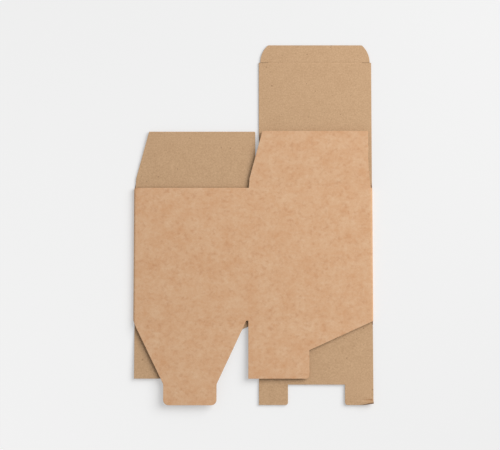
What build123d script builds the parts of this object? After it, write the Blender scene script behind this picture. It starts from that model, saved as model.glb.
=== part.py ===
"""A tuck-top carton with a snap-lock bottom, folded flat and lying on its back.

The real thing is one die-cut sheet of thin brown board, so this is one solid. Cut flat, the sheet
is a row of glue flap, near side, front, far side and back. It is folded over at two corners and
glued into a tube, which is then squashed:

- the back and the near side lie on the table, joined by the glue flap,
- the front lies over the near side, and the far side lies over the back,
- every flap stands out past the ends of the tube, above or below its neighbour.

Millimetres. While it is built, X runs from the left fold to the right fold, Y runs up the tube
from the bottom crease, and Z is up from the table. At the end the origin goes to the middle of
the sheet's outline, on the table.
"""
import os
from math import radians, tan

from build123d import *

# The board, and the room that the glued flap and the stiff folds leave between the two layers
board = 1.5
glue_clearance = 0.3
layer_gap = board + glue_clearance

# The tube, measured from a fold's outer side to the next crease
front_w = 104.25
side_w = 113.25
front_h = 120.9

# How far the other top creases lie beyond the front's cut top edge
dust_crease_rise = 0.4
lid_crease_rise = 1.9

# Lid, tuck flap and its two slits
lid_l = 114.2
tuck_l = 16.2
tuck_step = 1.3
tuck_side_r = 22.0
tuck_corner_r = 2.0
slit_l = 8.5
slit_w = 0.2

# Dust flaps: a short shoulder, then a slant, on the side of the opening
dust_l = 51.5
dust_shoulder_h = 8.6
dust_shoulder_in = 0.75
dust_slant = 15.2
dust_back_in = 1.8
dust_back_h = 24.0
dust_corner_r = 1.0

# Side bottom flaps: a straight side, a square end and a diagonal
side_flap_l = 52.3
side_flap_end_w = 55.1
side_flap_edge_l = 26.7
side_flap_corner_r = 3.4
near_diagonal_drop = 1.8
far_diagonal_drop = 0.4

# Front bottom flap, which tapers to the tongue, and the back bottom flap with its slot
lock_flap_l = 76.0
taper_l = 57.2
taper_angle = 26.1
taper_root_l = 4.6
tongue_w = 48.0
tongue_corner_r = 4.8
tongue_neck_r = 5.0
lock_slot_w = 51.5
lock_slot_depth = 18.3
lock_leg_r = 2.2
lock_shift = 0.5

# Cuts between neighbours: beside a flat crease, beside the front's bottom flap, beside a fold and
# along the back's free edge
crease_cut = 0.8
front_flap_cut = 1.8
fold_cut = 0.95
back_fold_cut = 0.2
seam_cut = 0.65

# The glue flap, and the ramp that takes it up from the near side on to the back
glue_flap_w = 16.0
glue_flap_taper = 12.0
glue_flap_end_in = 1.5
ramp_w = 2.6

# Score lines, pressed into the board's inner face
score_w = 1.2
score_depth = 0.35

# How far each flap springs up from its crease, in degrees
near_dust_spring = 1.5
far_dust_spring = 2.0
front_flap_spring = 2.4
near_flap_spring = 2.5
far_flap_spring = 1.5
back_flap_spring = 0.8

# The back bottom flap's bent outer corner: along the end, up the side, and how far it is bent
bent_corner_w = 14.5
bent_corner_h = 5.2
bent_corner_angle = 50.0

# Levels and places that follow from the sizes above
total_w = front_w + side_w
upper_z = board + layer_gap
stack_h = upper_z + board
fold_r = stack_h / 2
seam_x = side_w
back_x = seam_x + seam_cut
back_right = total_w - back_fold_cut
back_mid = (seam_x + total_w) / 2
dust_y = front_h + dust_crease_rise
lid_y = front_h + lid_crease_rise
tuck_y = lid_y + lid_l
top_y = tuck_y + tuck_l
room = stack_h + lock_flap_l


def plate(points, radii=None):
    """A flat outline drawn from above, with a radius at each corner, pulled up through the stack."""
    if radii:
        outline = FilletPolyline(*points, radius=radii, close=True)
    else:
        outline = Polyline(*points, close=True)
    return Pos(Z=-room / 2) * extrude(make_face(outline), amount=room)


def bent_strip(side_line, z_low):
    """A strip of board as wide as the tube that follows (y, rise) stations seen from the side."""
    low = [(y, z_low + rise) for y, rise in side_line]
    high = [(y, z + board) for y, z in reversed(low)]
    profile = Plane.YZ * make_face(Polyline(*low, *high, close=True))
    return extrude(profile, amount=total_w)


def sprung(start, crease, end, angle):
    """The side line of a flap that is flat up to its crease and then rises by an angle."""
    stations = [(start, 0), (end, abs(end - crease) * tan(radians(angle)))]
    if crease != start:
        stations.insert(1, (crease, 0))
    return stations


def tube():
    """The four panels with their two folds, the glue flap and the lengthwise score line."""
    outside = SlotOverall(total_w, stack_h)
    inside = SlotOverall(total_w - 2 * board, layer_gap)
    ring = Pos(total_w / 2, stack_h / 2) * (outside - inside)
    # The near side stops where the ramp begins, and the back starts at its own cut edge
    open_w = back_x - seam_x + ramp_w
    opening = Pos(seam_x - ramp_w, 0) * Rectangle(open_w, board, align=Align.MIN)
    score = score_cut((front_w, upper_z), 1)
    section = ring - opening - score
    return Plane.XZ * Pos(Z=-front_h) * extrude(section, amount=front_h)


def glue_flap():
    """The ramp and the tapered flap that is stuck to the back's inner face."""
    start = seam_x - ramp_w
    end = seam_x + glue_flap_w
    low = [(start, 0), (seam_x, board), (end, board)]
    high = [(x, z + board) for x, z in reversed(low)]
    section = make_face(Polyline(*low, *high, close=True))
    strip = Plane.XZ * Pos(Z=-front_h) * extrude(section, amount=front_h)
    taper = glue_flap_w * tan(radians(glue_flap_taper))
    bottom = glue_flap_end_in
    top = front_h - glue_flap_end_in
    outline = plate([
        (start, 0), (seam_x, bottom), (end, bottom + taper),
        (end, top - taper), (seam_x, top), (start, front_h),
    ])
    return strip & outline


def score_cut(point, side):
    """The V of a score line in section, at a point of a face, cut towards the given side."""
    x, z = point
    half = score_w / 2
    return make_face(Polyline((x - half, z), (x, z + side * score_depth), (x + half, z), close=True))


def score_line(x_from, x_to, y, z, side):
    """A score line across a panel, to be cut out of its inner face."""
    return Pos(x_from) * extrude(Plane.YZ * score_cut((y, z), side), amount=x_to - x_from)


def dust_flap(x_left, left_cut, right_cut, z_low, spring):
    """A top flap of a side panel: it slants on the left, and is nearly straight on the right."""
    left = x_left + left_cut
    right = x_left + side_w - right_cut
    end = dust_y + dust_l
    shoulder = dust_y + dust_shoulder_h
    slant_in = dust_shoulder_in + (end - shoulder) * tan(radians(dust_slant))
    points = [
        (left, front_h), (left + dust_shoulder_in, shoulder), (left + slant_in, end),
        (right - dust_back_in, end), (right - dust_back_in, dust_y + dust_back_h),
        (right, dust_y), (right, front_h),
    ]
    radii = [0, 0, 0, dust_corner_r, 0, 0, 0]
    return plate(points, radii) & bent_strip(sprung(front_h, dust_y, end, spring), z_low)


def side_flap(x_left, left_cut, right_cut, drop, z_low, spring):
    """A bottom flap of a side panel: straight on the left, with a diagonal on the right."""
    left = x_left + left_cut
    edge = x_left + side_flap_end_w
    right = x_left + side_w - right_cut
    points = [
        (left, 0), (left, -side_flap_l), (edge, -side_flap_l),
        (edge, -side_flap_edge_l), (right, -drop), (right, 0),
    ]
    radii = [0, 0, side_flap_corner_r, 0, 0, 0]
    return plate(points, radii) & bent_strip(sprung(0, 0, -side_flap_l, spring), z_low)


def front_flap():
    """The front's bottom flap: it tapers on both sides to the tongue that locks the bottom."""
    middle = front_w / 2 - lock_shift
    half = tongue_w / 2
    slope = tan(radians(taper_angle))
    root_x = middle - half - (taper_l - taper_root_l) * slope
    points = [
        (fold_cut / 2, 0), (root_x, -taper_root_l),
        (middle - half, -taper_l), (middle - half, -lock_flap_l),
        (middle + half, -lock_flap_l), (middle + half, -taper_l),
        (front_w - front_flap_cut, 0),
    ]
    radii = [0, 0, tongue_neck_r, tongue_corner_r, tongue_corner_r, tongue_neck_r, 0]
    rising = sprung(0, 0, -lock_flap_l, front_flap_spring)
    return plate(points, radii) & bent_strip(rising, upper_z)


def back_flap():
    """The back's bottom flap: two legs with the slot between them that takes the tongue."""
    slot_mid = back_mid + lock_shift
    slot_left = slot_mid - lock_slot_w / 2
    slot_right = slot_mid + lock_slot_w / 2
    slot_y = lock_slot_depth - lock_flap_l
    points = [
        (back_x, 0), (back_x, -lock_flap_l), (slot_left, -lock_flap_l), (slot_left, slot_y),
        (slot_right, slot_y), (slot_right, -lock_flap_l), (back_right - bent_corner_w, -lock_flap_l),
        (back_right, bent_corner_h - lock_flap_l), (back_right, 0),
    ]
    radii = [0, 0, lock_leg_r, 0, 0, lock_leg_r, 0, 0, 0]
    rising = sprung(0, 0, -lock_flap_l, back_flap_spring)
    return plate(points, radii) & bent_strip(rising, 0)


def bent_corner():
    """The knocked corner of the back flap's outer leg, turned up about a line across the corner."""
    slope = tan(radians(back_flap_spring))
    fold_y = bent_corner_h - lock_flap_l
    low_end = Vector(back_right - bent_corner_w, -lock_flap_l, lock_flap_l * slope)
    tip = Vector(back_right, -lock_flap_l, lock_flap_l * slope)
    high_end = Vector(back_right, fold_y, -fold_y * slope)
    under = make_face(Polyline(low_end, tip, high_end, close=True))
    flat = extrude(under, amount=board, dir=(0, 0, 1))
    return flat.rotate(Axis(high_end, low_end - high_end), bent_corner_angle)


def lid():
    """The lid and its tuck flap, with a slit from each side along the tuck crease."""
    left, right = back_x, back_right
    tuck_left, tuck_right = left + tuck_step, right - tuck_step
    # The tuck flap's sides are arcs that start square to the crease
    drop = tuck_side_r - (tuck_side_r ** 2 - tuck_l ** 2) ** 0.5
    sheet = plate([(left, front_h), (left, tuck_y), (right, tuck_y), (right, front_h)])
    tuck = Polyline((tuck_left, tuck_y), (tuck_right, tuck_y))
    right_side = RadiusArc((tuck_right, tuck_y), (tuck_right - drop, top_y), -tuck_side_r)
    end = Line((tuck_right - drop, top_y), (tuck_left + drop, top_y))
    left_side = RadiusArc((tuck_left + drop, top_y), (tuck_left, tuck_y), -tuck_side_r)
    outline = make_face(Curve() + [tuck, right_side, end, left_side])
    corners = outline.vertices().group_by(Axis.Y)[-1]
    outline = fillet(corners, tuck_corner_r)
    sheet += Pos(Z=-room / 2) * extrude(outline, amount=room)
    slit = Pos(0, tuck_y) * Box(slit_l, slit_w, room, align=(Align.MIN, Align.CENTER, Align.CENTER))
    sheet -= Pos(left) * slit
    sheet -= Pos(right - slit_l) * slit
    return sheet & bent_strip([(front_h, 0), (top_y, 0)], 0)


def score_lines():
    """Every score line that runs across a panel, upper layer first."""
    inside_right = total_w - fold_r
    ramp_foot = seam_x - ramp_w - score_w
    return [
        score_line(fold_r, front_w - crease_cut, 0, upper_z, 1),
        score_line(front_w, inside_right, 0, upper_z, 1),
        score_line(front_w + crease_cut, inside_right, dust_y, upper_z, 1),
        score_line(fold_r, ramp_foot, 0, board, -1),
        score_line(fold_r, ramp_foot, dust_y, board, -1),
        score_line(seam_x + glue_flap_w, inside_right, 0, board, -1),
        score_line(back_x, back_right, lid_y, board, -1),
        score_line(back_x + slit_l, back_right - slit_l, tuck_y, board, -1),
    ]


def carton():
    """The whole folded sheet, as one solid with its origin at the middle of its outline."""
    sheet = tube() + glue_flap()
    sheet += dust_flap(0, fold_cut, crease_cut, 0, near_dust_spring)
    sheet += dust_flap(front_w, crease_cut / 2, fold_cut, upper_z, far_dust_spring)
    sheet += lid()
    sheet += front_flap()
    sheet += side_flap(0, fold_cut, crease_cut, near_diagonal_drop, 0, near_flap_spring)
    sheet += side_flap(front_w, 0, back_fold_cut, far_diagonal_drop, upper_z, far_flap_spring)
    sheet += back_flap()
    sheet += bent_corner()
    for line in score_lines():
        sheet -= line
    return Pos(-total_w / 2, (lock_flap_l - top_y) / 2) * sheet


part = carton()
part.label = "folded_carton"
os.makedirs("parts", exist_ok=True)
export_step(part, "parts/folded_carton.step")
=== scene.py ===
"""A brown tuck-top carton, folded flat, on a pale table under soft daylight.

The carton is one die-cut sheet, so it is one mesh. Its blank is drawn flat, with u along the row of
panels (near side, front, far side, back) and y up the tube, both in millimetres. The blank is cut
into a fine net of triangles, and each point is then carried to where the folded sheet lies: round
the two folds, over the glue flap's ramp and along the flaps as they spring up from their creases.
The sheet has an outer liner, an inner liner and a raw cut edge, and each has its own finish.
"""
import logging
import math
from abc import ABC, abstractmethod
from dataclasses import dataclass, field
from enum import Enum

import bpy
import numpy as np
from bpy.types import Material, Node, NodeSocket, NodeTree, Object
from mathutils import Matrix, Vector
from mathutils.geometry import delaunay_2d_cdt


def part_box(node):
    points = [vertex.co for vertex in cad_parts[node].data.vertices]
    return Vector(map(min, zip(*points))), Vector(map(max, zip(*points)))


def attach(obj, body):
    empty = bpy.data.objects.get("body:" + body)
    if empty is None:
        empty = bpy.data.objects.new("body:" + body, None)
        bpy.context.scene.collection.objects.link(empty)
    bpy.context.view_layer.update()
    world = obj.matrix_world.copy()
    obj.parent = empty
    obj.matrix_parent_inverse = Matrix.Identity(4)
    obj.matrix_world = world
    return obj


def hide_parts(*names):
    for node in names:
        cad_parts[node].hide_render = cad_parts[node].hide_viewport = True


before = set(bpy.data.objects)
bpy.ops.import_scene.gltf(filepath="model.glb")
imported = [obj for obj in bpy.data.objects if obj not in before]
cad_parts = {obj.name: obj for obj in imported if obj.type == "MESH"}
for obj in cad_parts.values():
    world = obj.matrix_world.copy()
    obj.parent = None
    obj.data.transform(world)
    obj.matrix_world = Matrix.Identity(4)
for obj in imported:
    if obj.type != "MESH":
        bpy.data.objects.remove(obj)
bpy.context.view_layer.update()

MM = 0.001
NODE = "folded_carton"

# A mix node's sockets go by number, because its numbers and its colours share their names
MIX_SHARE = 0
FROM_NUMBER = 2
TO_NUMBER = 3
MIXED_NUMBER = 0
FROM_COLOUR = 6
TO_COLOUR = 7
MIXED_COLOUR = 2

# The corners of a flap's outline, each as its x, its y and the radius that rounds it
Outline = list[tuple[float, float, float]]

log = logging.getLogger("carton")


def linear(hex_code: str) -> tuple[float, float, float, float]:
    """Turns an sRGB hex colour into the linear colour that a socket takes.

    Args:
        hex_code: the colour as #RRGGBB.

    Returns:
        Linear red, green and blue, and full opacity.
    """
    levels = [int(hex_code[i:i + 2], 16) / 255 for i in (1, 3, 5)]
    red, green, blue = (v / 12.92 if v <= 0.04045 else ((v + 0.055) / 1.055) ** 2.4 for v in levels)
    return red, green, blue, 1.0


def per_metre(size_mm: float) -> float:
    """The scale of a texture whose grains are this many millimetres across."""
    return 1 / (size_mm * MM)


def smooth_step(share: float) -> float:
    """Eases from 0 to 1 as the share goes from 0 to 1."""
    held = min(max(share, 0.0), 1.0)
    return held * held * (3 - 2 * held)


def add_node(
    tree: NodeTree, kind: str, inputs: dict[str | int, object] | None = None, **settings: object
) -> Node:
    """Adds a node with its settings, and fills or links its inputs.

    Args:
        tree: the node tree that gets the node.
        kind: the node's type.
        inputs: each input's name or number, with a value or another node's output.
        **settings: the node's own properties.

    Returns:
        The new node.
    """
    node = tree.nodes.new(kind)
    for name, value in settings.items():
        setattr(node, name, value)
    for name, value in (inputs or {}).items():
        if isinstance(value, NodeSocket):
            tree.links.new(value, node.inputs[name])
        else:
            node.inputs[name].default_value = value
    return node


class Panel(Enum):
    """The four panels of the tube, in the order in which they follow each other on the sheet."""

    NEAR_SIDE = 0
    FRONT = 1
    FAR_SIDE = 2
    BACK = 3


class End(Enum):
    """The two open ends of the tube."""

    LID = 0
    BOTTOM = 1


class Side(Enum):
    """The sides of the board, each the number of its material on the mesh."""

    OUTER = 0
    INNER = 1
    EDGE = 2


@dataclass(frozen=True)
class Corner:
    """A corner of the blank's outline, on the flat sheet."""

    u: float
    y: float
    radius: float = 0.0


@dataclass(frozen=True)
class Blank:
    """The sheet as the die cuts and scores it, with every length in millimetres.

    Outlines are given by their x in the folded sheet, because that is where they are measured.
    The methods near, upper and back say where such an x lies along the flat sheet.
    """

    board: float = 1.5
    glue_clearance: float = 0.3

    # The tube, from a fold's outer side to the next crease
    front_w: float = 104.25
    side_w: float = 113.25
    front_h: float = 120.9

    # How far the other top creases lie beyond the front's cut top edge
    dust_crease_rise: float = 0.4
    lid_crease_rise: float = 1.9

    # Lid, tuck flap and slits
    lid_l: float = 114.2
    tuck_l: float = 16.2
    tuck_step: float = 1.3
    tuck_side_r: float = 22.0
    tuck_corner_r: float = 2.0
    slit_l: float = 8.5
    slit_w: float = 0.2

    # Dust flaps
    dust_l: float = 51.5
    dust_shoulder_h: float = 8.6
    dust_shoulder_in: float = 0.75
    dust_slant: float = 15.2
    dust_back_in: float = 1.8
    dust_back_h: float = 24.0
    dust_corner_r: float = 1.0

    # Side bottom flaps
    side_flap_l: float = 52.3
    side_flap_end_w: float = 55.1
    side_flap_edge_l: float = 26.7
    side_flap_corner_r: float = 3.4
    near_diagonal_drop: float = 1.8
    far_diagonal_drop: float = 0.4

    # Front bottom flap with its tongue, and back bottom flap with its slot
    lock_flap_l: float = 76.0
    taper_l: float = 57.2
    taper_angle: float = 26.1
    taper_root_l: float = 4.6
    tongue_w: float = 48.0
    tongue_corner_r: float = 4.8
    tongue_neck_r: float = 5.0
    lock_slot_w: float = 51.5
    lock_slot_depth: float = 18.3
    lock_leg_r: float = 2.2
    lock_shift: float = 0.5

    # Cuts between neighbours
    crease_cut: float = 0.8
    front_flap_cut: float = 1.8
    fold_cut: float = 0.95
    far_dust_cut: float = 2.0
    back_fold_cut: float = 0.2
    seam_cut: float = 0.65

    # Glue flap and its ramp
    glue_flap_w: float = 16.0
    glue_flap_taper: float = 12.0
    glue_flap_end_in: float = 1.5
    ramp_w: float = 2.6

    @property
    def layer_gap(self) -> float:
        """The room between the two layers of the folded tube."""
        return self.board + self.glue_clearance

    @property
    def total_w(self) -> float:
        """The folded tube's width."""
        return self.front_w + self.side_w

    @property
    def fold_r(self) -> float:
        """The outer radius of the two folds."""
        return self.board + self.layer_gap / 2

    @property
    def bend_r(self) -> float:
        """The radius of the board's middle in the two folds."""
        return self.fold_r - self.board / 2

    @property
    def bend_l(self) -> float:
        """The length of board that a fold takes up."""
        return math.pi * self.bend_r

    @property
    def flat_l(self) -> float:
        """The length of board between the two folds."""
        return self.total_w - 2 * self.fold_r

    @property
    def ramp_l(self) -> float:
        """The length of board in the glue flap's ramp."""
        return math.hypot(self.ramp_w, self.board)

    @property
    def back_x(self) -> float:
        """The back's free edge."""
        return self.side_w + self.seam_cut

    @property
    def back_right(self) -> float:
        """The right edge of the back's flaps."""
        return self.total_w - self.back_fold_cut

    @property
    def dust_y(self) -> float:
        """The dust flaps' crease."""
        return self.front_h + self.dust_crease_rise

    @property
    def dust_end_y(self) -> float:
        """The dust flaps' end."""
        return self.dust_y + self.dust_l

    @property
    def lid_y(self) -> float:
        """The lid's crease."""
        return self.front_h + self.lid_crease_rise

    @property
    def tuck_y(self) -> float:
        """The tuck flap's crease."""
        return self.lid_y + self.lid_l

    @property
    def front_mid(self) -> float:
        """The middle of the front's bottom flap."""
        return self.front_w / 2 - self.lock_shift

    @property
    def slot_left(self) -> float:
        """The left side of the slot that takes the tongue."""
        return (self.side_w + self.total_w) / 2 + self.lock_shift - self.lock_slot_w / 2

    @property
    def upper_u(self) -> float:
        """Where the upper layer starts on the flat sheet, after the left fold."""
        return self.bend_l

    @property
    def upper_end_u(self) -> float:
        """Where the upper layer ends on the flat sheet, at the right fold."""
        return self.upper_u + self.flat_l

    @property
    def back_u(self) -> float:
        """Where the back starts on the flat sheet, after the right fold."""
        return 2 * self.bend_l + self.flat_l

    @property
    def ramp_u(self) -> float:
        """Where the near side ends on the flat sheet, at the foot of the glue flap's ramp."""
        return self.near(self.side_w - self.ramp_w)

    def near(self, x: float) -> float:
        """Where an x of the near side lies along the flat sheet."""
        return self.fold_r - x

    def upper(self, x: float) -> float:
        """Where an x of the front or the far side lies along the flat sheet."""
        return self.upper_u + x - self.fold_r

    def back(self, x: float) -> float:
        """Where an x of the back lies along the flat sheet."""
        return self.back_u + self.total_w - self.fold_r - x

    def panel_at(self, u: float) -> Panel:
        """Finds the panel that a place along the flat sheet belongs to, as its flaps do.

        Args:
            u: the place along the flat sheet.

        Returns:
            The panel.
        """
        slack = 1e-6
        if u < self.bend_l / 2:
            return Panel.NEAR_SIDE
        if u < self.upper(self.front_w) - slack:
            return Panel.FRONT
        if u < self.back_u - self.bend_l / 2:
            return Panel.FAR_SIDE
        return Panel.BACK

    def side_flap(self, x_left: float, left_cut: float, right_cut: float, drop: float) -> Outline:
        """Draws a side's bottom flap.

        Args:
            x_left: the x of the panel's left side.
            left_cut: the room between the flap and the crease or fold on its left.
            right_cut: the room on its right.
            drop: how far down its right side the diagonal starts.

        Returns:
            The flap's corners from its left end to its right end.
        """
        left = x_left + left_cut
        right = x_left + self.side_w - right_cut
        edge = x_left + self.side_flap_end_w
        return [
            (left, 0, 0),
            (left, -self.side_flap_l, 0),
            (edge, -self.side_flap_l, self.side_flap_corner_r),
            (edge, -self.side_flap_edge_l, 0),
            (right, -drop, 0),
            (right, 0, 0),
        ]

    def front_flap(self) -> Outline:
        """Draws the front's bottom flap with its tongue.

        Returns:
            The flap's corners from its left end to its right end.
        """
        left = self.front_mid - self.tongue_w / 2
        right = self.front_mid + self.tongue_w / 2
        root_x = left - (self.taper_l - self.taper_root_l) * math.tan(math.radians(self.taper_angle))
        return [
            (self.fold_cut / 2, 0, 0),
            (root_x, -self.taper_root_l, 0),
            (left, -self.taper_l, self.tongue_neck_r),
            (left, -self.lock_flap_l, self.tongue_corner_r),
            (right, -self.lock_flap_l, self.tongue_corner_r),
            (right, -self.taper_l, self.tongue_neck_r),
            (self.front_w - self.front_flap_cut, 0, 0),
        ]

    def back_flap(self) -> Outline:
        """Draws the back's bottom flap, with the slot between its two legs.

        Returns:
            The flap's corners from its right end to its left end.
        """
        slot_right = self.slot_left + self.lock_slot_w
        slot_y = self.lock_slot_depth - self.lock_flap_l
        return [
            (self.back_right, 0, 0),
            (self.back_right, -self.lock_flap_l, 0),
            (slot_right, -self.lock_flap_l, self.lock_leg_r),
            (slot_right, slot_y, 0),
            (self.slot_left, slot_y, 0),
            (self.slot_left, -self.lock_flap_l, self.lock_leg_r),
            (self.back_x, -self.lock_flap_l, 0),
        ]

    def dust_flap(self, x_left: float, left_cut: float, right_cut: float) -> Outline:
        """Draws a side's top flap.

        Args:
            x_left: the x of the panel's left side.
            left_cut: the room between the flap and the crease or fold on its left.
            right_cut: the room on its right.

        Returns:
            The flap's corners from its left end to its right end.
        """
        left = x_left + left_cut
        right = x_left + self.side_w - right_cut
        shoulder = self.dust_y + self.dust_shoulder_h
        slant = (self.dust_end_y - shoulder) * math.tan(math.radians(self.dust_slant))
        return [
            (left, self.front_h, 0),
            (left + self.dust_shoulder_in, shoulder, 0),
            (left + self.dust_shoulder_in + slant, self.dust_end_y, 0),
            (right - self.dust_back_in, self.dust_end_y, self.dust_corner_r),
            (right - self.dust_back_in, self.dust_y + self.dust_back_h, 0),
            (right, self.dust_y, 0),
            (right, self.front_h, 0),
        ]

    def half_lid(self, edge: float, inwards: int) -> Outline:
        """Draws one side of the lid and its tuck flap, with the slit between them.

        Args:
            edge: the x of the lid's side edge.
            inwards: 1 where the lid lies to the right of that edge, -1 where it lies to the left.

        Returns:
            The corners from the slit to the tuck flap's end.
        """
        slit_end = edge + inwards * self.slit_l
        side = edge + inwards * self.tuck_step
        half = self.slit_w / 2
        steps = 6
        arc = []
        for step in range(steps + 1):
            rise = self.tuck_l * step / steps
            drop = self.tuck_side_r - math.sqrt(self.tuck_side_r ** 2 - rise ** 2)
            radius = self.tuck_corner_r if step == steps else 0
            arc.append((side + inwards * drop, max(self.tuck_y + rise, self.tuck_y + half), radius))
        return [
            (edge, self.tuck_y - half, 0),
            (slit_end, self.tuck_y - half, 0),
            (slit_end, self.tuck_y + half, 0),
            *arc,
        ]

    def glue_flap(self) -> list[Corner]:
        """Draws the glue flap on the flat sheet.

        Returns:
            The flap's corners from its top end to its bottom end.
        """
        root = self.ramp_u - self.ramp_l
        end = root - self.glue_flap_w
        low = self.glue_flap_end_in
        high = self.front_h - self.glue_flap_end_in
        taper = self.glue_flap_w * math.tan(math.radians(self.glue_flap_taper))
        return [
            Corner(root, high),
            Corner(end, high - taper),
            Corner(end, low + taper),
            Corner(root, low),
        ]

    def corners(self) -> list[Corner]:
        """Draws the whole outline.

        Returns:
            Its corners on the flat sheet, counter-clockwise from the near side's bottom flap.
        """
        near_flap = self.side_flap(0, self.fold_cut, self.crease_cut, self.near_diagonal_drop)
        far_flap = self.side_flap(self.front_w, 0, self.back_fold_cut, self.far_diagonal_drop)
        near_dust = self.dust_flap(0, self.fold_cut, self.crease_cut)
        far_dust = self.dust_flap(self.front_w, self.crease_cut / 2, self.far_dust_cut)
        outlines = [
            (self.near, reversed(near_flap)),
            (self.upper, self.front_flap()),
            (self.upper, far_flap),
            (self.back, self.back_flap()),
            (self.back, self.half_lid(self.back_x, 1)),
            (self.back, reversed(self.half_lid(self.back_right, -1))),
            (self.back, [(self.back_right, self.front_h, 0)]),
            (self.upper, reversed(far_dust)),
            (self.near, near_dust),
        ]
        found = [Corner(along(x), y, radius) for along, outline in outlines for x, y, radius in outline]
        return found + self.glue_flap()

    def creases(self) -> dict[Panel, list[tuple[float, float, float]]]:
        """Says where the score lines across the tube lie on the flat sheet.

        Returns:
            Each panel's lines, as y, lowest u and highest u.
        """
        bend = self.bend_l / 2
        near = (self.near(self.side_w), bend)
        front = (bend, self.upper(self.front_w))
        far = (self.upper(self.front_w), self.back_u - bend)
        back = (self.back_u - bend, self.back(self.back_x))
        tuck = (self.back(self.back_right - self.slit_l), self.back(self.back_x + self.slit_l))
        return {
            Panel.NEAR_SIDE: [(0, *near), (self.dust_y, *near)],
            Panel.FRONT: [(0, *front)],
            Panel.FAR_SIDE: [(0, *far), (self.dust_y, *far)],
            Panel.BACK: [(0, *back), (self.lid_y, *back), (self.tuck_y, *tuck)],
        }


def fillet(before: Corner, corner: Corner, after: Corner, step_angle: float) -> list[Vector]:
    """Rounds one corner of an outline.

    Args:
        before: the corner before it.
        corner: the corner itself, with its radius.
        after: the corner after it.
        step_angle: the largest turn between two points, in radians.

    Returns:
        The arc's points, or the corner's own point where it has no radius.
    """
    here = Vector((corner.u, corner.y))
    if not corner.radius:
        return [here]
    inward = (Vector((before.u, before.y)) - here).normalized()
    outward = (Vector((after.u, after.y)) - here).normalized()
    half_angle = math.acos(max(-1.0, min(1.0, inward.dot(outward)))) / 2
    reach = corner.radius / math.tan(half_angle)
    centre = here + (inward + outward).normalized() * (corner.radius / math.sin(half_angle))
    start = here + inward * reach - centre
    end = here + outward * reach - centre
    turn = abs(start.angle_signed(end))
    steps = max(2, math.ceil(turn / step_angle))
    points = []
    for step in range(steps + 1):
        share = step / steps
        mixed = start * math.sin((1 - share) * turn) + end * math.sin(share * turn)
        points.append(centre + mixed / math.sin(turn))
    return points


def outline_points(corners: list[Corner], spacing: float, step_angle: float) -> list[Vector]:
    """Turns corners into a closed ring of points.

    Args:
        corners: the outline's corners in order.
        spacing: the largest distance between two points.
        step_angle: the largest turn between two points of a rounded corner, in radians.

    Returns:
        The ring's points in order, the first of them not repeated at the end.
    """
    ring = []
    for i, corner in enumerate(corners):
        ring += fillet(corners[i - 1], corner, corners[(i + 1) % len(corners)], step_angle)
    points = []
    for i, start in enumerate(ring):
        end = ring[(i + 1) % len(ring)]
        parts = max(1, math.ceil((end - start).length / spacing))
        points += [start.lerp(end, part / parts) for part in range(parts)]
    return points


def extent(ring: list[Vector], axis: int) -> tuple[float, float]:
    """The lowest and the highest value of a ring of points along an axis."""
    return min(point[axis] for point in ring), max(point[axis] for point in ring)


def inside(points: np.ndarray, ring: list[Vector], clear: float) -> np.ndarray:
    """Says which points lie inside a closed outline and clear of it.

    Args:
        points: the points, one a row.
        ring: the outline's points in order.
        clear: the least distance from the outline.

    Returns:
        True for each point that is kept.
    """
    starts = np.array([tuple(point) for point in ring])
    ends = np.roll(starts, -1, axis=0)
    crossed = np.zeros(len(points), int)
    nearest = np.full(len(points), np.inf)
    for start, end in zip(starts, ends):
        edge = end - start
        along = np.clip((points - start) @ edge / (edge @ edge), 0, 1)
        away = points - start - along[:, None] * edge
        nearest = np.minimum(nearest, np.hypot(away[:, 0], away[:, 1]))
        if start[1] == end[1]:
            continue
        spans = (points[:, 1] < start[1]) != (points[:, 1] < end[1])
        at_u = start[0] + (points[:, 1] - start[1]) * edge[0] / edge[1]
        crossed += spans & (points[:, 0] < at_u)
    return (crossed % 2 == 1) & (nearest >= clear)


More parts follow.
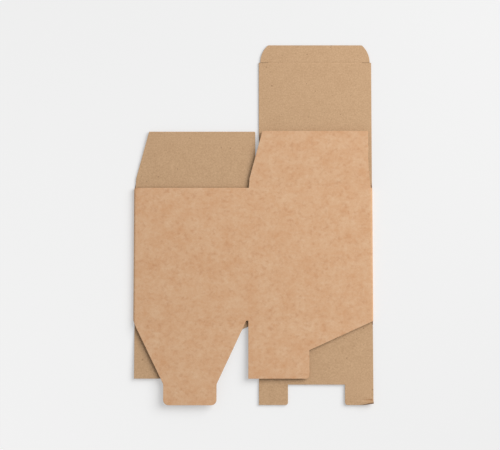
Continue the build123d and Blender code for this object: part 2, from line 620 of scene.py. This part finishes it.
@dataclass(frozen=True)
class FoldedShape:
    """How the sheet lies once it is folded flat: millimetres and degrees."""

    blank: Blank

    # How far each flap springs up, and the length over which its crease bends
    springs: dict[tuple[Panel, End], float] = field(default_factory=lambda: {
        (Panel.NEAR_SIDE, End.LID): 1.5,
        (Panel.FAR_SIDE, End.LID): 2.9,
        (Panel.NEAR_SIDE, End.BOTTOM): 2.5,
        (Panel.FRONT, End.BOTTOM): 2.4,
        (Panel.FAR_SIDE, End.BOTTOM): 1.5,
    })
    left_leg_spring: float = 0.5
    right_leg_spring: float = 1.2
    crease_bend: float = 3.0

    # Flaps leave the round of a fold over this length
    settle_l: float = 5.0

    # The knocked corner of the back flap's outer leg: how wide and high it is, how far it turns up
    # and over what length, and how many times deeper than a score line it is pressed
    bent_w: float = 14.5
    bent_h: float = 4.4
    bent_angle: float = 65.0
    bent_curl_l: float = 1.6
    bent_press: float = 3.2

    # Score lines are pressed into the inner liner, and stand up a little on the upper layer's outer one
    score_depth: float = 0.3
    score_half_w: float = 0.55
    bead: float = 0.02

    # How thick the glue is under the glue flap
    glue_line: float = 0.04

    # Below 1 the folds are squarer than a half circle
    fold_roundness: float = 0.55

    # The sheet's slope at a point is taken between places this far to either side of it
    slope_reach: float = 0.05

    @property
    def bent_y(self) -> float:
        """The line that the knocked corner bends along."""
        return self.bent_h - self.blank.lock_flap_l

    def tube(self, u: float) -> tuple[float, float]:
        """Finds where the board's middle lies along the tube.

        Args:
            u: the place along the flat sheet.

        Returns:
            Its x and z.
        """
        blank = self.blank
        if u < blank.ramp_u:
            along = (blank.ramp_u - u) / blank.ramp_l
            foot_x = blank.side_w - blank.ramp_w
            x = foot_x + min(along, 1) * blank.ramp_w + max(along - 1, 0) * blank.ramp_l
            return x, blank.board / 2 + (blank.board + self.glue_line) * smooth_step(along)
        if u < 0:
            return self.flat(Panel.NEAR_SIDE, u)
        if u < blank.upper_u:
            out, up = self.fold(u / blank.bend_r)
            return blank.fold_r - out, blank.fold_r - up
        if u < blank.upper_end_u:
            return self.flat(Panel.FRONT, u)
        if u < blank.back_u:
            out, up = self.fold((u - blank.upper_end_u) / blank.bend_r)
            return blank.total_w - blank.fold_r + out, blank.fold_r + up
        return self.flat(Panel.BACK, u)

    def fold(self, turn: float) -> tuple[float, float]:
        """Finds where the board's middle lies in a fold.

        Args:
            turn: how far round the fold, in radians.

        Returns:
            How far out and how far up it lies from the fold's centre.
        """
        out = max(math.sin(turn), 0.0) ** self.fold_roundness
        up = math.copysign(abs(math.cos(turn)) ** self.fold_roundness, math.cos(turn))
        return self.blank.bend_r * out, self.blank.bend_r * up

    def flat(self, panel: Panel, u: float) -> tuple[float, float]:
        """Finds where the board's middle lies when a panel runs on flat past its folds.

        Args:
            panel: the panel.
            u: the place along the flat sheet.

        Returns:
            Its x and z.
        """
        blank = self.blank
        low = blank.board / 2
        if panel is Panel.NEAR_SIDE:
            return blank.fold_r - u, low
        if panel is Panel.BACK:
            return blank.total_w - blank.fold_r - (u - blank.back_u), low
        return blank.fold_r + u - blank.upper_u, low + blank.board + blank.layer_gap

    def spring(self, panel: Panel, end: End, x: float) -> float:
        """Says how far a flap springs up.

        Args:
            panel: the panel that the flap is on.
            end: the end of the tube that it is at.
            x: the place across it, because the back's bottom flap springs more at its outer leg.

        Returns:
            The angle in degrees.
        """
        if panel is Panel.BACK and end is End.BOTTOM:
            blank = self.blank
            share = smooth_step((x - blank.back_x) / (blank.back_right - blank.back_x))
            return self.left_leg_spring + (self.right_leg_spring - self.left_leg_spring) * share
        return self.springs.get((panel, end), 0.0)

    def rise(self, panel: Panel, x: float, y: float) -> float:
        """Says how high a flap stands above its panel at a point, bending softly at its crease.

        Args:
            panel: the panel that the flap is on.
            x: the point's x.
            y: its y.

        Returns:
            The height, 0 on the panel itself.
        """
        blank = self.blank
        end = End.LID if y > blank.front_h else End.BOTTOM
        beyond = y - blank.dust_y if end is End.LID else -y
        if beyond <= 0:
            return 0.0
        slope = math.tan(math.radians(self.spring(panel, end, x)))
        return slope * (math.hypot(beyond, self.crease_bend) - self.crease_bend)

    def bent_share(self, x: float) -> float:
        """How far the end is bent at an x: not at all along the leg, and fully at its corner."""
        return smooth_step((x - self.blank.back_right + self.bent_w) / self.bent_w)

    def bent_corner(self, x: float, y: float) -> tuple[float, float]:
        """Says how far the knocked corner carries a point.

        Args:
            x: the point's x.
            y: its y.

        Returns:
            How far it goes along y, and how far up.
        """
        beyond = self.bent_y - y
        share = self.bent_share(x)
        if beyond <= 0 or share <= 0:
            return 0.0, 0.0
        turn = math.radians(self.bent_angle) * share
        radius = self.bent_curl_l / turn
        turned = turn * min(beyond, self.bent_curl_l) / self.bent_curl_l
        straight = max(beyond - self.bent_curl_l, 0.0)
        run = radius * math.sin(turned) + straight * math.cos(turn)
        return beyond - run, radius * (1 - math.cos(turned)) + straight * math.sin(turn)

    def middle(self, panel: Panel, u: float, y: float) -> Vector:
        """Carries a point of the flat sheet to where the board's middle lies.

        Args:
            panel: the panel that the point belongs to.
            u: the point's place along the flat sheet.
            y: its place up the tube.

        Returns:
            The place in the folded sheet.
        """
        x, z = self.tube(u)
        beyond = max(-y, y - self.blank.front_h)
        if beyond > 0:
            settled = smooth_step(beyond / self.settle_l)
            flat_x, flat_z = self.flat(panel, u)
            x += (flat_x - x) * settled
            z += (flat_z - z) * settled
        z += self.rise(panel, x, y)
        along, up = self.bent_corner(x, y) if panel is Panel.BACK else (0.0, 0.0)
        return Vector((x, y + along, z + up))

    def outward(self, panel: Panel, u: float, y: float) -> Vector:
        """Finds the direction from the board's middle to its outer liner.

        Args:
            panel: the panel that the point belongs to.
            u: the point's place along the flat sheet.
            y: its place up the tube.

        Returns:
            The direction, one long.
        """
        reach = self.slope_reach
        across = self.middle(panel, u + reach, y) - self.middle(panel, u - reach, y)
        along = self.middle(panel, u, y + reach) - self.middle(panel, u, y - reach)
        return across.cross(along).normalized()

    def in_score(self, away: float) -> float:
        """How deep a point lies in a score line this far away: 1 on the line, and 0 clear of it."""
        return math.exp(-(away / self.score_half_w) ** 2)

    def score(self, panel: Panel, u: float, y: float) -> float:
        """Says how deep the board is pressed in by its score lines and by the knocked corner.

        Args:
            panel: the panel that the point belongs to.
            u: the point's place along the flat sheet.
            y: its place up the tube.

        Returns:
            The depth as a share of a score line's, which the knocked corner goes past.
        """
        blank = self.blank
        depths = [0.0]
        for line_y, low_u, high_u in blank.creases()[panel]:
            if low_u <= u <= high_u:
                depths.append(self.in_score(y - line_y))
        if 0 <= y <= blank.front_h:
            depths.append(self.in_score(u - blank.upper(blank.front_w)))
        if panel is Panel.BACK:
            share = self.bent_share(self.flat(panel, u)[0])
            depths.append(self.bent_press * share * self.in_score(y - self.bent_y))
        return max(depths)


@dataclass(frozen=True)
class BoardMesh:
    """The folded sheet as a closed mesh: two liners and the cut edge between them."""

    blank: Blank
    shape: FoldedShape

    # The net's spacing, the room that it leaves along the outline and beside a fold, and the largest
    # turn between two points of a rounded corner
    spacing: float = 2.5
    clear_of_edge: float = 1.0
    clear_of_fold: float = 1.0
    arc_step: float = math.radians(12)

    # Lines about each crease, and the room that the evenly spaced ones leave there
    crease_lines: tuple[float, ...] = (-1.2, -0.8, -0.4, 0, 0.4, 0.8, 1.2)
    clear_of_crease: float = 1.8

    # How many strips of the net go round a fold and up the ramp
    fold_steps: int = 12
    ramp_steps: int = 6

    # The cut edge's rounding, and the flat band of liner that ends beside it
    edge_round: float = 0.1
    edge_band: float = 0.2

    # A sharp corner of the outline goes out at most one over this times as far as its sides do
    least_cosine: float = 0.5

    # Faces that meet at more than this angle have a sharp edge between them
    sharp_angle: float = math.radians(50)

    def lines(self, low: float, high: float, fine: list[float]) -> list[float]:
        """Sets out the net's lines at an even spacing, with closer ones about each crease.

        Args:
            low: the first line.
            high: the last line.
            fine: the creases.

        Returns:
            The lines in order.
        """
        count = math.ceil((high - low) / self.spacing)
        even = [low + (high - low) * i / count for i in range(count + 1)]
        near_creases = [at + off for at in fine for off in self.crease_lines]
        kept = [line for line in even if all(abs(line - at) > self.clear_of_crease for at in fine)]
        return sorted(kept + near_creases)

    def grid(self, ring: list[Vector]) -> list[Vector]:
        """Lays out the net's points on lines along and across the tube.

        Args:
            ring: the outline's points.

        Returns:
            The points inside the outline.
        """
        blank = self.blank
        room = self.clear_of_fold
        folds = [(0, blank.upper_u), (blank.upper_end_u, blank.back_u)]
        across = self.lines(*extent(ring, 0), [blank.upper(blank.front_w)])
        across = [u for u in across if not any(low - room < u < high + room for low, high in folds)]
        for low, high in folds:
            across += [low + (high - low) * i / self.fold_steps for i in range(self.fold_steps + 1)]
        across += [blank.ramp_u - blank.ramp_l * i / self.ramp_steps for i in range(self.ramp_steps + 1)]
        creases = [0, blank.dust_y, blank.lid_y, blank.tuck_y, self.shape.bent_y]
        along = self.lines(*extent(ring, 1), creases)
        points = np.array([(u, y) for u in sorted(set(across)) for y in sorted(set(along))])
        return [Vector(point) for point in points[inside(points, ring, self.clear_of_edge)]]

    def triangles(self) -> tuple[list[Vector], list[tuple[int, ...]], int]:
        """Cuts the flat sheet into triangles.

        Returns:
            The points, with the outline's first, the triangles, and how many points the outline has.
        """
        inside_outline = 1
        slack = 1e-5
        ring = outline_points(self.blank.corners(), self.spacing, self.arc_step)
        points = ring + self.grid(ring)
        count = len(ring)
        cut = delaunay_2d_cdt(points, [], [list(range(count))], inside_outline, slack)
        _, _, faces, sources, _, _ = cut
        order = [source[0] for source in sources]
        return points, [tuple(order[i] for i in face) for face in faces], count

    def rim_directions(self, ring: list[Vector]) -> list[Vector]:
        """Finds the way out of the sheet at each point of its outline.

        Args:
            ring: the outline's points.

        Returns:
            The directions, longer at a corner so that the edge keeps its width there.
        """
        directions = []
        for i, here in enumerate(ring):
            before = (here - ring[i - 1]).normalized()
            after = (ring[(i + 1) % len(ring)] - here).normalized()
            normal = Vector((before.y + after.y, -before.x - after.x)).normalized()
            cosine = normal.dot(Vector((after.y, -after.x)))
            directions.append(normal / max(cosine, self.least_cosine))
        return directions

    def rim_profile(self) -> list[tuple[float, float]]:
        """Draws the cut edge in section.

        Returns:
            Its points from the outer liner to the inner one, as out and up.
        """
        half = self.blank.board / 2
        start = self.edge_round
        middle = start * (1 - math.sqrt(0.5))
        rounding = [(-start, half), (-middle, half - middle), (0, half - start)]
        upper = [(-start - self.edge_band, half), *rounding]
        return upper + [(out, -up) for out, up in reversed(upper)]

    def point(self, flat: Vector, up: float) -> Vector:
        """Carries a point of the flat sheet to its place in the folded one.

        Args:
            flat: the point.
            up: how far it is from the board's middle, towards the outer liner.

        Returns:
            The place in the folded sheet.
        """
        shape = self.shape
        panel = self.blank.panel_at(flat.x)
        score = shape.score(panel, flat.x, flat.y)
        if up <= 0:
            pressed = -shape.score_depth
        else:
            pressed = shape.bead if panel in (Panel.FRONT, Panel.FAR_SIDE) else 0.0
        up += pressed * score * up / (self.blank.board / 2)
        place = shape.middle(panel, flat.x, flat.y)
        return place + shape.outward(panel, flat.x, flat.y) * up

    def build(self, name: str) -> Object:
        """Makes the mesh and its object, in metres and in the frame's place.

        Args:
            name: the object's name.

        Returns:
            The object, with a material number on each face and no material yet.
        """
        flat, triangles, count = self.triangles()
        directions = self.rim_directions(flat[:count])
        profile = self.rim_profile()
        half = self.blank.board / 2
        verts = []
        for out, up in profile:
            verts += [self.point(flat[i] + directions[i] * out, up) for i in range(count)]
        for up in (half, -half):
            verts += [self.point(place, up) for place in flat[count:]]

        # The point numbers of each liner: its own end of the rim, then the points inside the outline
        rim_end = len(profile) * count
        inner_start = rim_end + len(flat) - count
        outer = [*range(count), *range(rim_end, inner_start)]
        inner = [*range(rim_end - count, rim_end), *range(inner_start, len(verts))]
        faces = [tuple(outer[i] for i in face) for face in triangles]
        faces += [tuple(inner[i] for i in reversed(face)) for face in triangles]
        sides = [Side.OUTER.value] * len(triangles) + [Side.INNER.value] * len(triangles)

        # The liners go over the rim's roundings, and the raw edge lies between them
        rounded = len(profile) // 2 - 1
        bands = [Side.OUTER] * rounded + [Side.EDGE] + [Side.INNER] * rounded
        for band, side in enumerate(bands):
            upper = band * count
            lower = upper + count
            for i in range(count):
                j = (i + 1) % count
                faces.append((upper + j, upper + i, lower + i, lower + j))
                sides.append(side.value)
        return self.to_object(name, verts, faces, sides)

    def to_object(
        self, name: str, verts: list[Vector], faces: list[tuple[int, ...]], sides: list[int]
    ) -> Object:
        """Makes a Blender object.

        Args:
            name: its name.
            verts: its points, in millimetres from the sheet's left fold and bottom crease.
            faces: its faces, by the numbers of their points.
            sides: each face's material number.

        Returns:
            The object, in the scene.
        """
        low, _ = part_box(NODE)
        shift = Vector((0, self.blank.lock_flap_l, 0))
        mesh = bpy.data.meshes.new(name)
        mesh.from_pydata([low + (place + shift) * MM for place in verts], [], faces)
        mesh.polygons.foreach_set("material_index", sides)
        mesh.polygons.foreach_set("use_smooth", [True] * len(faces))
        mesh.set_sharp_from_angle(angle=self.sharp_angle)
        mesh.validate()
        piece = bpy.data.objects.new(name, mesh)
        bpy.context.scene.collection.objects.link(piece)
        return piece


@dataclass(frozen=True)
class Tint:
    """A colour that a pattern brings in: the levels at which it starts to show and shows most."""

    colour: str
    shows_from: float
    full_from: float
    most: float = 1.0

    def over(self, tree: NodeTree, pattern: NodeSocket, below: object) -> NodeSocket:
        """Lays the colour over another one, where the pattern is high.

        Args:
            tree: the material's nodes.
            pattern: the pattern, from 0 to 1.
            below: the other colour, as a socket or a linear colour.

        Returns:
            The colour of both.
        """
        share = add_node(tree, "ShaderNodeMapRange", {
            "Value": pattern,
            "From Min": self.shows_from,
            "From Max": self.full_from,
            "To Max": self.most,
        })
        mixed = add_node(tree, "ShaderNodeMix", {
            MIX_SHARE: share.outputs["Result"],
            FROM_COLOUR: below,
            TO_COLOUR: linear(self.colour),
        }, data_type="RGBA")
        return mixed.outputs[MIXED_COLOUR]


@dataclass(frozen=True)
class BoardFinish(ABC):
    """What every finish of the board has: a matte surface, and a relief of its fibres.

    A single fibre is a few hundredths of a millimetre wide, far too fine to show, so the relief is
    drawn about as coarse as the clumps that fibres settle in.
    """

    name: str
    roughness: float
    relief: float
    relief_mm: float = 0.06
    fibre_mm: float = 0.9
    ior: float = 1.45

    @abstractmethod
    def colour(self, tree: NodeTree, place: NodeSocket) -> NodeSocket:
        """Draws the finish's own pattern, and gives the colour at each place on the board."""

    def height(self, tree: NodeTree, place: NodeSocket) -> NodeSocket:
        """Draws the relief, which is fibres unless the finish has its own.

        Args:
            tree: the material's nodes.
            place: where on the board each point lies.

        Returns:
            The height as a share of the relief.
        """
        fibres = add_node(tree, "ShaderNodeTexNoise", {
            "Vector": place, "Scale": per_metre(self.fibre_mm), "Detail": 3.0, "Roughness": 0.7,
        })
        return fibres.outputs["Fac"]

    def material(self) -> Material:
        """Builds the material.

        Returns:
            The material, named for its finish.
        """
        made = bpy.data.materials.new(self.name)
        made.use_nodes = True
        tree = made.node_tree
        shader = tree.nodes["Principled BSDF"]
        place = add_node(tree, "ShaderNodeTexCoord").outputs["Object"]
        bump = add_node(tree, "ShaderNodeBump", {
            "Height": self.height(tree, place), "Strength": self.relief, "Distance": self.relief_mm * MM,
        })
        tree.links.new(self.colour(tree, place), shader.inputs["Base Color"])
        tree.links.new(bump.outputs["Normal"], shader.inputs["Normal"])
        shader.inputs["Roughness"].default_value = self.roughness
        shader.inputs["IOR"].default_value = self.ior
        return made


@dataclass(frozen=True)
class KraftOuterLiner(BoardFinish):
    """Brown kraft liner, made from long wood fibres on a paper machine and left unprinted.

    The pulp settles in clouds, so the sheet is mottled: warm, slightly darker patches a centimetre
    or two across, with smaller ones in them. They are a little longer along the run of the machine,
    which is across the panels. It is matte, with a faint fibre grain.
    """

    name: str = "kraft_outer_liner"
    roughness: float = 0.82
    relief: float = 0.25
    deep: str = "#C9956A"
    cloud_mm: float = 14.0
    clouds: Tint = Tint("#D9B693", shows_from=0.26, full_from=0.74)
    fleck_mm: float = 3.4
    flecks: Tint = Tint("#B88057", shows_from=0.53, full_from=0.78, most=0.56)

    # How much longer the marks are along the machine's run, and the place on the paper, in metres,
    # that the blank is cut from: clear of its origin, where marks of every size fall into rings
    machine_run: float = 1.1
    cut_from: tuple[float, float, float] = (0.5, 0.9, 0.3)

    def colour(self, tree: NodeTree, place: NodeSocket) -> NodeSocket:
        """Draws pale clouds on the deeper brown, and darker flecks over both.

        Args:
            tree: the material's nodes.
            place: where on the board each point lies.

        Returns:
            The colour.
        """
        along_run = add_node(tree, "ShaderNodeMapping", {
            "Vector": place, "Scale": (1 / self.machine_run, 1, 1), "Location": self.cut_from,
        }).outputs["Vector"]
        clouds = add_node(tree, "ShaderNodeTexNoise", {
            "Vector": along_run, "Scale": per_metre(self.cloud_mm), "Detail": 5.0, "Roughness": 0.95,
        })
        flecks = add_node(tree, "ShaderNodeTexNoise", {
            "Vector": along_run, "Scale": per_metre(self.fleck_mm), "Detail": 3.0, "Roughness": 0.6,
        })
        board = self.clouds.over(tree, clouds.outputs["Fac"], linear(self.deep))
        return self.flecks.over(tree, flecks.outputs["Fac"], board)


@dataclass(frozen=True)
class KraftInnerLiner(BoardFinish):
    """The inner liner: kraft with recycled fibre, greyer than the outer one and finer in grain.

    It is even from a step away. Close to, it has short pale and dark fibres and a few specks of bark.
    """

    name: str = "kraft_inner_liner"
    roughness: float = 0.85
    relief: float = 0.3
    deep: str = "#B28E6A"
    pale: Tint = Tint("#CCA984", shows_from=0.25, full_from=0.75)
    cloud_mm: float = 12.0
    grain_mm: float = 1.3
    grain_share: float = 0.85
    speck_mm: float = 2.2
    specks: Tint = Tint("#7A593C", shows_from=0.72, full_from=0.8, most=0.6)

    def colour(self, tree: NodeTree, place: NodeSocket) -> NodeSocket:
        """Draws a fine grain with a little cloud in it, and specks over it.

        Args:
            tree: the material's nodes.
            place: where on the board each point lies.

        Returns:
            The colour.
        """
        clouds = add_node(tree, "ShaderNodeTexNoise", {
            "Vector": place, "Scale": per_metre(self.cloud_mm), "Detail": 1.0,
        })
        grain = add_node(tree, "ShaderNodeTexNoise", {
            "Vector": place, "Scale": per_metre(self.grain_mm), "Detail": 2.0, "Roughness": 0.6,
        })
        specks = add_node(tree, "ShaderNodeTexNoise", {
            "Vector": place, "Scale": per_metre(self.speck_mm), "Detail": 1.0,
        })
        both = add_node(tree, "ShaderNodeMix", {
            MIX_SHARE: self.grain_share,
            FROM_NUMBER: clouds.outputs["Fac"],
            TO_NUMBER: grain.outputs["Fac"],
        })
        board = self.pale.over(tree, both.outputs[MIXED_NUMBER], linear(self.deep))
        return self.specks.over(tree, specks.outputs["Fac"], board)


@dataclass(frozen=True)
class RawCutEdge(BoardFinish):
    """The board's edge as the steel rule leaves it: torn, pressed fibre, darker than the liners, and
    darkened further with painted shade for the shadowed hollows of its flutes.

    The plies show as fine streaks along the edge, drawn a third of a millimetre high.
    """

    name: str = "raw_cut_edge"
    roughness: float = 0.95
    relief: float = 0.6
    relief_mm: float = 0.12
    # The deep brown is partly the pressed fibre's own colour and partly painted shade, standing in for
    # the shadowed hollows of the flutes
    deep: str = "#5C3F29"
    pale: Tint = Tint("#97724E", shows_from=0.3, full_from=0.7)
    ply_mm: float = 0.35
    run_mm: float = 3.0

    def height(self, tree: NodeTree, place: NodeSocket) -> NodeSocket:
        """Draws the plies.

        Args:
            tree: the material's nodes.
            place: where on the board each point lies.

        Returns:
            The height as a share of the relief.
        """
        along = per_metre(self.run_mm)
        squeezed = add_node(tree, "ShaderNodeMapping", {
            "Vector": place, "Scale": (along, along, per_metre(self.ply_mm)),
        })
        plies = add_node(tree, "ShaderNodeTexNoise", {
            "Vector": squeezed.outputs["Vector"], "Scale": 1.0, "Detail": 3.0, "Roughness": 0.6,
        })
        return plies.outputs["Fac"]

    def colour(self, tree: NodeTree, place: NodeSocket) -> NodeSocket:
        """Colours the plies, pale where they stand out."""
        return self.pale.over(tree, self.height(tree, place), linear(self.deep))


@dataclass(frozen=True)
class FoldedCarton:
    """The carton: one sheet of board, folded, glued and pressed flat."""

    blank: Blank = Blank()

    def build(self) -> Object:
        """Builds and dresses the sheet, and puts it in the place of its solid.

        Returns:
            The dressed sheet.
        """
        mesh = BoardMesh(self.blank, FoldedShape(self.blank))
        piece = mesh.build("carton_board")
        finishes = {
            Side.OUTER: KraftOuterLiner(),
            Side.INNER: KraftInnerLiner(),
            Side.EDGE: RawCutEdge(),
        }
        for side in Side:
            piece.data.materials.append(finishes[side].material())
        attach(piece, "root")
        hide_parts(NODE)
        return piece


def background_rays(tree: NodeTree) -> NodeSocket:
    """Picks the rays that show the background: seen straight, in a sheen or through glass.

    Args:
        tree: the node tree that the test is made in.

    Returns:
        A socket that is 1 for those rays and 0 for all others.
    """
    path = add_node(tree, "ShaderNodeLightPath").outputs
    rays = path["Is Camera Ray"]
    for kind in ("Is Glossy Ray", "Is Transmission Ray"):
        rays = add_node(tree, "ShaderNodeMath", {0: rays, 1: path[kind]}, operation="MAXIMUM").outputs[0]
    return rays


@dataclass(frozen=True)
class MatteTablePaper:
    """Matte paper that takes the carton's shadow, and looks evenly pale to the camera.

    The lamp is so near that it leaves the table brighter on its own side. What the camera sees is
    therefore partly a glow that falls off the other way, and only glow from a metre off. Only the
    rays that show the background meet the glow, so all that it adds to the carton is a faint sheen.
    """

    lamp_azimuth: float
    name: str = "matte_table_paper"
    colour: str = "#F2F2F2"

    # The glow's share of the look beside the carton, and the distances over which it grows to all
    near_share: float = 0.34
    near_r: float = 0.4
    far_r: float = 1.0

    # How far to either side the glow changes, and by how much
    reach: float = 0.3
    change: float = 0.38

    def glow_level(self, tree: NodeTree, place: NodeSocket) -> NodeSocket:
        """Makes the glow stronger on the side away from the lamp.

        Args:
            tree: the material's nodes.
            place: where on the table each point lies.

        Returns:
            The glow's strength near the carton.
        """
        turn = math.radians(self.lamp_azimuth)
        lamp_side = (math.cos(turn), math.sin(turn), 0)
        towards_lamp = add_node(
            tree, "ShaderNodeVectorMath", {0: place, 1: lamp_side}, operation="DOT_PRODUCT"
        )
        level = add_node(tree, "ShaderNodeMapRange", {
            "Value": towards_lamp.outputs["Value"],
            "From Min": -self.reach,
            "From Max": self.reach,
            "To Min": 1 + self.change,
            "To Max": 1 - self.change,
        })
        return level.outputs["Result"]

    def material(self) -> Material:
        """Builds the material.

        Returns:
            The material, named for its finish.
        """
        made = bpy.data.materials.new(self.name)
        made.use_nodes = True
        tree = made.node_tree
        shader = tree.nodes["Principled BSDF"]
        shader.inputs["Base Color"].default_value = linear(self.colour)
        shader.inputs["Roughness"].default_value = 1.0
        shader.inputs["Specular IOR Level"].default_value = 0.0
        place = add_node(tree, "ShaderNodeTexCoord").outputs["Object"]
        away = add_node(tree, "ShaderNodeVectorMath", {0: place}, operation="LENGTH").outputs["Value"]
        far = add_node(tree, "ShaderNodeMapRange", {
            "Value": away, "From Min": self.near_r, "From Max": self.far_r,
        }).outputs["Result"]
        level = add_node(tree, "ShaderNodeMix", {
            MIX_SHARE: far, FROM_NUMBER: self.glow_level(tree, place), TO_NUMBER: 1.0,
        }).outputs[MIXED_NUMBER]
        share = add_node(tree, "ShaderNodeMix", {
            MIX_SHARE: far, FROM_NUMBER: self.near_share, TO_NUMBER: 1.0,
        }).outputs[MIXED_NUMBER]
        glow = add_node(tree, "ShaderNodeEmission", {"Color": linear(self.colour), "Strength": level})
        seen_share = add_node(
            tree, "ShaderNodeMath", {0: share, 1: background_rays(tree)}, operation="MULTIPLY"
        )
        mixed = add_node(tree, "ShaderNodeMixShader", {
            0: seen_share.outputs[0], 1: shader.outputs[0], 2: glow.outputs[0],
        })
        tree.links.new(mixed.outputs[0], tree.nodes["Material Output"].inputs["Surface"])
        return made


@dataclass(frozen=True)
class Studio:
    """The table, the light and the camera, in metres, watts and degrees, and the lens in millimetres."""

    table_w: float = 8.0
    table_drop: float = 0.05 * MM

    sky_strength: float = 0.4
    sky_seen: str = "#F2F2F2"

    lamp_distance: float = 1.4
    lamp_width: float = 1.15
    lamp_elevation: float = 46.0
    lamp_azimuth: float = 28.0
    lamp_power: float = 19.2

    # The camera looks down, and leans a little from the carton's bottom end
    camera_distance: float = 1.3
    camera_lean: float = 4.47
    camera_aim: tuple[float, float, float] = (-2.95 * MM, -1.6 * MM, 3.0 * MM)
    focal_length: float = 102.7
    sensor_width: float = 36.0

    def table(self) -> None:
        """Lays a plain pale table top just below the carton."""
        half = self.table_w / 2
        corners = [(-half, -half), (half, -half), (half, half), (-half, half)]
        mesh = bpy.data.meshes.new("table_top")
        mesh.from_pydata([(x, y, -self.table_drop) for x, y in corners], [], [(0, 1, 2, 3)])
        top = bpy.data.objects.new("table_top", mesh)
        bpy.context.scene.collection.objects.link(top)
        mesh.materials.append(MatteTablePaper(self.lamp_azimuth).material())

    def sky(self) -> None:
        """Lights the scene evenly from all round, with a pale background for the camera."""
        world = bpy.data.worlds.new("studio")
        bpy.context.scene.world = world
        world.use_nodes = True
        tree = world.node_tree
        tree.nodes.clear()
        white = (1, 1, 1, 1)
        light = add_node(tree, "ShaderNodeBackground", {"Color": white, "Strength": self.sky_strength})
        seen = add_node(tree, "ShaderNodeBackground", {"Color": linear(self.sky_seen), "Strength": 1.0})
        mixed = add_node(tree, "ShaderNodeMixShader", {
            0: background_rays(tree), 1: light.outputs[0], 2: seen.outputs[0],
        })
        add_node(tree, "ShaderNodeOutputWorld", {"Surface": mixed.outputs[0]})

    def lamp(self) -> None:
        """Hangs a large soft window of light to the right, a little towards the lid."""
        data = bpy.data.lights.new("window_light", "AREA")
        data.shape = "SQUARE"
        data.size = self.lamp_width
        data.energy = self.lamp_power
        lamp = bpy.data.objects.new("window_light", data)
        up = math.radians(self.lamp_elevation)
        turn = math.radians(self.lamp_azimuth)
        direction = Vector((math.cos(up) * math.cos(turn), math.cos(up) * math.sin(turn), math.sin(up)))
        lamp.location = direction * self.lamp_distance
        lamp.rotation_euler = direction.to_track_quat("Z", "Y").to_euler()
        bpy.context.scene.collection.objects.link(lamp)

    def camera(self) -> None:
        """Sets the camera at the photograph's angle."""
        data = bpy.data.cameras.new("camera")
        data.sensor_width = self.sensor_width
        data.lens = self.focal_length
        camera = bpy.data.objects.new("camera", data)
        lean = math.radians(self.camera_lean)
        away = Vector((0, -math.sin(lean), math.cos(lean)))
        camera.location = Vector(self.camera_aim) + away * self.camera_distance
        camera.rotation_euler = (lean, 0, 0)
        bpy.context.scene.collection.objects.link(camera)
        bpy.context.scene.camera = camera

    def build(self) -> None:
        """Sets up the whole studio, and reports each part of it."""
        for part in (self.table, self.sky, self.lamp, self.camera):
            part()
            log.info("studio: %s", part.__name__)
        bpy.context.scene.view_settings.view_transform = "Standard"


def main() -> None:
    """Builds the carton and its studio, and reports each piece."""
    logging.basicConfig(level=logging.INFO, format="%(message)s")
    carton = FoldedCarton().build()
    mesh = carton.data
    log.info("%s: %d points, %d faces", carton.name, len(mesh.vertices), len(mesh.polygons))
    Studio().build()


if __name__ == "__main__":
    main()
